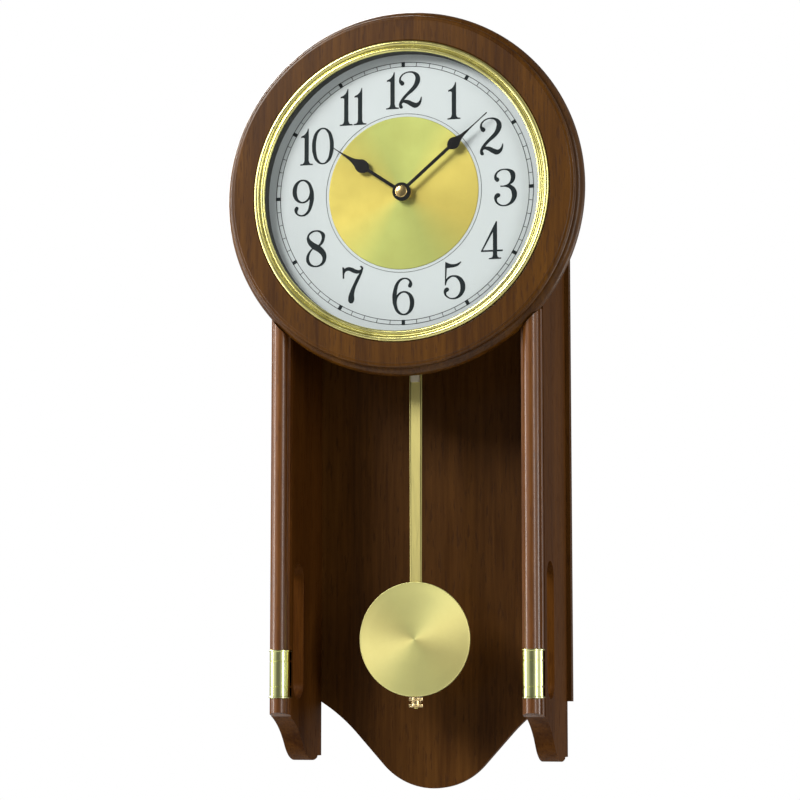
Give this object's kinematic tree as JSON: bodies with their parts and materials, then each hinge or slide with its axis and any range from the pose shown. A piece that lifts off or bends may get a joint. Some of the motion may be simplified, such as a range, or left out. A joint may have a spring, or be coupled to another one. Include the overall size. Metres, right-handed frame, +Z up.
{
  "type": "pendulum wall clock",
  "caption": "Pendulum wall clock: round wooden head with brass bezel, glazed dial and spade hands over an open case with slim columns, swinging bob and waved tail.",
  "frame": {"origin": "centre of the round hole of the keyhole hanger, on the rear face of the back panel", "axes": "+X to the right as seen from the front, +Y into the wall (the dial faces -Y), +Z up"},
  "size_m": [0.262, 0.1037, 0.5522],
  "materials": {
    "case_wood": "satin stained veneer",
    "ring_wood": "satin stained veneer",
    "moulding_wood": "satin stained",
    "board": "raw fibreboard",
    "bezel_brass": "polished, lacquered",
    "collar_brass": "polished, lacquered",
    "disc_brass": "cone-brushed",
    "rod_brass": "brushed",
    "bob_metal": "cone-brushed, gold tone",
    "dial_white": "matt enamel",
    "ink": "printed",
    "hand_black": "satin black",
    "clear_glass": "clear",
    "dark_spacer": "matt",
    "steel": "zinc-plated",
    "rubber": "matt",
    "black_plastic": "fine texture",
    "cream_plastic": "fine texture",
    "red_plastic": "smooth",
    "gear_plastic": "smooth",
    "gear_brass": "turned",
    "coil_copper": "enamelled copper wire",
    "circuit_green": "solder mask",
    "cell_skin": "wrapped",
    "cone_paper": "pressed paper",
    "ferrite": "sintered"
  },
  "bodies": {
    "case": {"back_panel": "case_wood", "left_side_panel": "case_wood", "right_side_panel": "case_wood", "top_board": "case_wood", "left_column": "moulding_wood", "right_column": "moulding_wood", "left_collar": "collar_brass", "right_collar": "collar_brass", "head_board": "board", "head_ring": "ring_wood", "bezel": "bezel_brass", "glass": "clear_glass", "spacer_ring": "dark_spacer", "dial_board": "board", "dial_plate": "dial_white", "dial_disc": "disc_brass", "dial_numerals": "ink", "minute_track": "ink", "hanger_plate": "steel", "hanger_screws": "steel", "wall_bumpers": "rubber", "movement_front": "black_plastic", "movement_rear": "black_plastic", "train_plate": "gear_brass", "fixing_nut": "gear_brass", "circuit_board": "circuit_green", "motor_coil": "coil_copper", "stator": "steel", "battery_cells": "cell_skin", "battery_contacts": "steel", "speaker_frame": "black_plastic", "speaker_cone": "cone_paper", "speaker_magnet": "ferrite", "pendulum_case": "black_plastic", "pendulum_cover": "black_plastic", "pendulum_coil": "coil_copper", "pivot_pin": "steel", "works_bracket": "steel", "case_screws": "steel"},
    "minute": {"minute_arbor": "gear_brass", "minute_hand": "hand_black", "hand_cap": "gear_brass"},
    "hour": {"hour_wheel": "gear_plastic", "hour_hand": "hand_black"},
    "setter": {"minute_wheel": "gear_plastic", "setting_knob": "cream_plastic"},
    "centre": {"centre_wheel": "gear_brass"},
    "third": {"third_wheel": "gear_plastic"},
    "seconds": {"seconds_wheel": "gear_plastic"},
    "fifth": {"fifth_wheel": "gear_plastic"},
    "motor": {"rotor": "ferrite"},
    "volume": {"volume_knob": "cream_plastic"},
    "chime": {"chime_switch": "cream_plastic"},
    "night": {"night_switch": "cream_plastic"},
    "demo": {"demo_button": "red_plastic"},
    "pendulum": {"pendulum_hanger": "cream_plastic", "pendulum_rod": "rod_brass", "rod_stud": "rod_brass"},
    "bob": {"bob": "bob_metal"},
    "nut": {"rating_nut": "rod_brass"}
  },
  "joints": [
    {"name": "minute_turn", "type": "hinge", "parent": "case", "child": "minute", "pos_m": [0, -0.096, -0.052], "axis": [0, -1, 0], "continuous": true},
    {"name": "hour_turn", "type": "hinge", "parent": "case", "child": "hour", "pos_m": [0, -0.094, -0.052], "axis": [0, -1, 0], "continuous": true},
    {"name": "setter_turn", "type": "hinge", "parent": "case", "child": "setter", "pos_m": [-0.01247, -0.06, -0.0448], "axis": [0, -1, 0], "continuous": true},
    {"name": "seconds_turn", "type": "hinge", "parent": "case", "child": "seconds", "pos_m": [0.01178, -0.07, -0.0344], "axis": [0, -1, 0], "continuous": true},
    {"name": "centre_turn", "type": "hinge", "parent": "case", "child": "centre", "pos_m": [0, -0.066, -0.052], "axis": [0, -1, 0], "continuous": true},
    {"name": "third_turn", "type": "hinge", "parent": "case", "child": "third", "pos_m": [0.01178, -0.07, -0.0452], "axis": [0, -1, 0], "continuous": true},
    {"name": "fifth_turn", "type": "hinge", "parent": "case", "child": "fifth", "pos_m": [0.0042, -0.072, -0.03002], "axis": [0, -1, 0], "continuous": true},
    {"name": "motor_turn", "type": "hinge", "parent": "case", "child": "motor", "pos_m": [-0.0018, -0.076, -0.03002], "axis": [0, -1, 0], "continuous": true},
    {"name": "volume_turn", "type": "hinge", "parent": "case", "child": "volume", "pos_m": [0.038, -0.054, -0.02], "axis": [0, -1, 0], "range_deg": [0, 280]},
    {"name": "chime_slide", "type": "slide", "parent": "case", "child": "chime", "axis": [1, 0, 0], "range_m": [0, 0.006]},
    {"name": "night_slide", "type": "slide", "parent": "case", "child": "night", "axis": [1, 0, 0], "range_m": [0, 0.006]},
    {"name": "demo_press", "type": "slide", "parent": "case", "child": "demo", "axis": [0, -1, 0], "range_m": [0, 0.0012], "stiffness_N_per_m": 400},
    {"name": "pendulum_swing", "type": "hinge", "parent": "case", "child": "pendulum", "pos_m": [0, -0.056, -0.124], "axis": [0, 1, 0], "range_deg": [-9, 9]},
    {"name": "bob_slide", "type": "slide", "parent": "pendulum", "child": "bob", "axis": [0, 0, 1], "range_m": [-0.0016, 0.0016]},
    {"name": "nut_turn", "type": "hinge", "parent": "bob", "child": "nut", "pos_m": [0, -0.056, -0.4115], "axis": [0, 0, 1], "range_deg": [-720, 720]}
  ],
  "couplings": [
    {"joint": "hour_turn", "follows": "minute_turn", "ratio": 0.083333},
    {"joint": "setter_turn", "follows": "minute_turn", "ratio": -0.33333},
    {"joint": "third_turn", "follows": "seconds_turn", "ratio": -0.125},
    {"joint": "centre_turn", "follows": "seconds_turn", "ratio": 0.016667},
    {"joint": "fifth_turn", "follows": "seconds_turn", "ratio": -6},
    {"joint": "motor_turn", "follows": "seconds_turn", "ratio": 30},
    {"joint": "nut_turn", "follows": "bob_slide", "rad_per_m": 7854}
  ]
}
